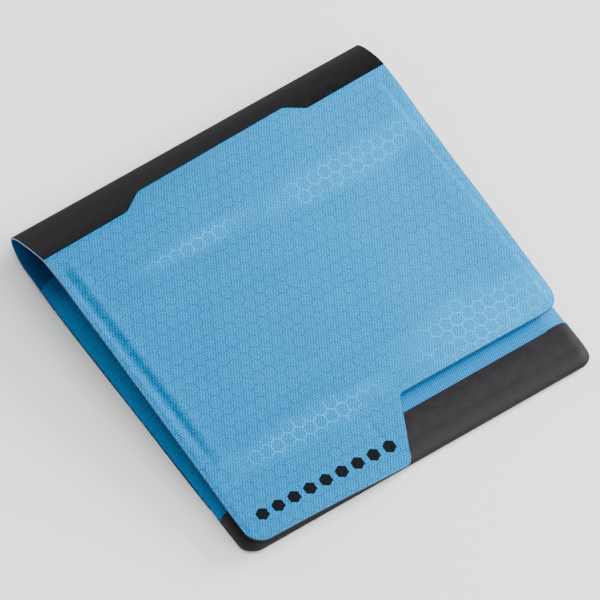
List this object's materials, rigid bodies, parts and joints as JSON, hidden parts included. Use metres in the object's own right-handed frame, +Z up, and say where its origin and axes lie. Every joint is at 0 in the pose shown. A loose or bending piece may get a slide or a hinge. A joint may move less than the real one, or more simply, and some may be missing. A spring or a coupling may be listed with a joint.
{
  "type": "folding wallet",
  "caption": "Small folding pocket wallet of bonded ripstop sheet, with stepped card pockets, a note pocket and a zipped coin pocket.",
  "frame": {"origin": "on the resting face, under the middle of the closed wallet", "axes": "+X along the fold, +Y towards the fold, +Z up off the resting face"},
  "size_m": [0.0966, 0.099, 0.016],
  "materials": {
    "ripstop_blue": "laminated hexagon ripstop weave",
    "ribbed_blue": "fine ribbed weave",
    "film_black": "matte bonded film",
    "seam_tape": "bonded seam tape",
    "lining_grey": "thin plain weave",
    "zip_tape": "knitted zip tape",
    "zip_teeth": "moulded nylon",
    "zip_metal": "dull plated"
  },
  "bodies": {
    "back": {"back_shell": "ripstop_blue", "note_pocket_sheet": "ribbed_blue", "edge_band": "film_black", "fold_band_under": "film_black", "note_seam_tape_left": "seam_tape", "note_seam_tape_right": "seam_tape", "coin_pocket_top": "ribbed_blue", "coin_pocket_front": "ribbed_blue", "zip_tape_rear": "zip_tape", "zip_tape_front": "zip_tape", "zip_teeth_rear": "zip_teeth", "zip_teeth_front": "zip_teeth", "zip_bottom_stop": "zip_metal", "zip_top_stop": "zip_metal"},
    "spine_low": {"spine_shell_low": "ripstop_blue", "fold_band_low": "film_black"},
    "spine_front": {"spine_shell_front": "ripstop_blue", "fold_band_front": "film_black"},
    "spine_top": {"spine_shell_top": "ripstop_blue", "fold_band_top": "film_black"},
    "cover": {"cover_shell": "ripstop_blue", "card_lining": "lining_grey", "card_pocket_rear": "lining_grey", "card_pocket_middle": "lining_grey", "card_pocket_front": "lining_grey", "card_seam_tape_left": "seam_tape", "card_seam_tape_right": "seam_tape", "card_seam_tape_bottom": "seam_tape"},
    "slider": {"zip_slider": "zip_metal"},
    "puller": {"zip_puller": "zip_metal"}
  },
  "joints": [
    {"name": "fold_low", "type": "hinge", "parent": "back", "child": "spine_low", "pos_m": [0, 0.0439, 0.0014], "axis": [-1, 0, 0], "range_deg": [0, 25.6]},
    {"name": "fold_front", "type": "hinge", "parent": "spine_low", "child": "spine_front", "pos_m": [0, 0.04849, 0.00379], "axis": [-1, 0, 0], "range_deg": [0, 57.5]},
    {"name": "fold_top", "type": "hinge", "parent": "spine_front", "child": "spine_top", "pos_m": [0, 0.04897, 0.00937], "axis": [-1, 0, 0], "range_deg": [0, 71.8]},
    {"name": "cover_fold", "type": "hinge", "parent": "spine_top", "child": "cover", "pos_m": [0, 0.0335, 0.016], "axis": [-1, 0, 0], "range_deg": [0, 30.9]},
    {"name": "zip_travel", "type": "slide", "parent": "back", "child": "slider", "axis": [1, 0, 0], "range_m": [-0.068, 0]},
    {"name": "puller_swing", "type": "hinge", "parent": "slider", "child": "puller", "pos_m": [0.034, 0.0225, 0.00652], "axis": [0, 1, 0], "range_deg": [0, 178]}
  ]
}
